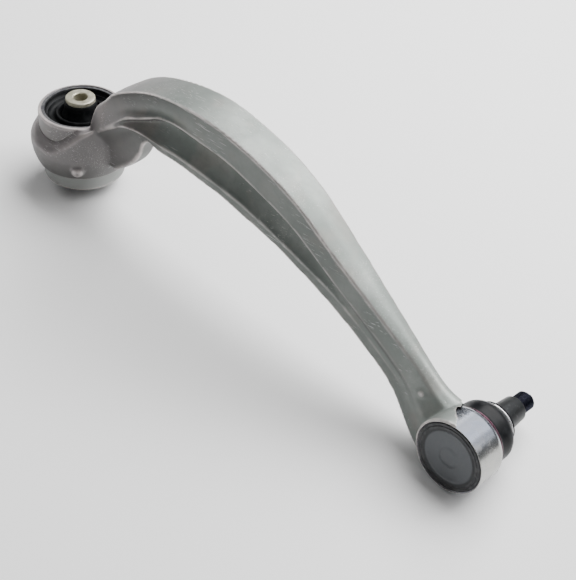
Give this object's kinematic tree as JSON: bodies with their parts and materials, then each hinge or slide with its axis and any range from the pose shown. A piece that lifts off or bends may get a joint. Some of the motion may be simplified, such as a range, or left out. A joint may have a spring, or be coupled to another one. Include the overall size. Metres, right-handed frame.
{
  "type": "suspension control arm",
  "caption": "Arched forged guide arm for a multi-link suspension, with a fluid-filled rubber bush at one end and an integral tapered-stud ball joint at the other.",
  "frame": {"origin": "centre of the bush's bolt hole, halfway along the inner sleeve", "axes": "+Z along the bush axis, on the side that the arm arches to; +X towards the ball joint; the stud points to +Y, tipped 5.4 degrees down"},
  "size_m": [0.5219, 0.1171, 0.1858],
  "materials": {
    "forged_aluminium": "shot-blasted forging with bright turned faces",
    "coated_steel": "black coated steel",
    "cage_plastic": "glass-filled plastic",
    "duct_plastic": "moulded plastic",
    "bush_rubber": "black rubber",
    "stop_plastic": "natural plastic",
    "core_plastic": "moulded plastic",
    "sleeve_metal": "turned, faintly yellow passivated",
    "seat_plastic": "natural acetal",
    "spring_steel": "spring steel",
    "seal_rubber": "black rubber",
    "cap_steel": "dark grey coated steel",
    "boot_rubber": "black rubber",
    "base_clamp_steel": "reddish tinted spring band",
    "bright_wire": "bright steel",
    "stud_steel": "black phosphated steel"
  },
  "bodies": {
    "arm": {"arm_forging": "forged_aluminium", "bush_outer_sleeve": "coated_steel", "bush_cage": "cage_plastic", "channel_half_front": "duct_plastic", "channel_half_rear": "duct_plastic", "bush_rubber": "bush_rubber", "ball_seat": "seat_plastic", "seat_preload_ring": "spring_steel", "cap_seal_ring": "seal_rubber", "closing_cap": "cap_steel"},
    "bush_stop": {"bush_travel_stop": "stop_plastic"},
    "inner_sleeve": {"bush_inner_sleeve": "sleeve_metal", "bush_core": "core_plastic"},
    "boot_base": {"boot_base_clamp": "base_clamp_steel", "dust_boot": "boot_rubber"},
    "boot_top": {"boot_top_clamp": "bright_wire", "boot_lip_ring": "bright_wire"},
    "stud": {"ball_stud": "stud_steel"}
  },
  "joints": [
    {"name": "bush_cardanic_tilt", "type": "hinge", "parent": "arm", "child": "bush_stop", "pos_m": [0, 0, 0], "axis": [0, 1, 0], "range_deg": [-3, 3], "stiffness_Nm_per_rad": 250, "deforming": ["bush_rubber"]},
    {"name": "bush_twist", "type": "hinge", "parent": "bush_stop", "child": "inner_sleeve", "pos_m": [0, 0, 0], "axis": [0, 0, 1], "range_deg": [-20, 20], "stiffness_Nm_per_rad": 60},
    {"name": "ball_lean_direction", "type": "hinge", "parent": "arm", "child": "boot_base", "pos_m": [0.4466, 0, -0.0431], "axis": [0, 0.9956, -0.0941], "continuous": true},
    {"name": "ball_lean", "type": "hinge", "parent": "boot_base", "child": "boot_top", "pos_m": [0.4466, 0, -0.0431], "axis": [1, 0, 0], "range_deg": [-25, 25], "deforming": ["dust_boot"]},
    {"name": "stud_spin", "type": "hinge", "parent": "boot_top", "child": "stud", "pos_m": [0.4466, 0, -0.0431], "axis": [0, 0.9956, -0.0941], "continuous": true}
  ]
}
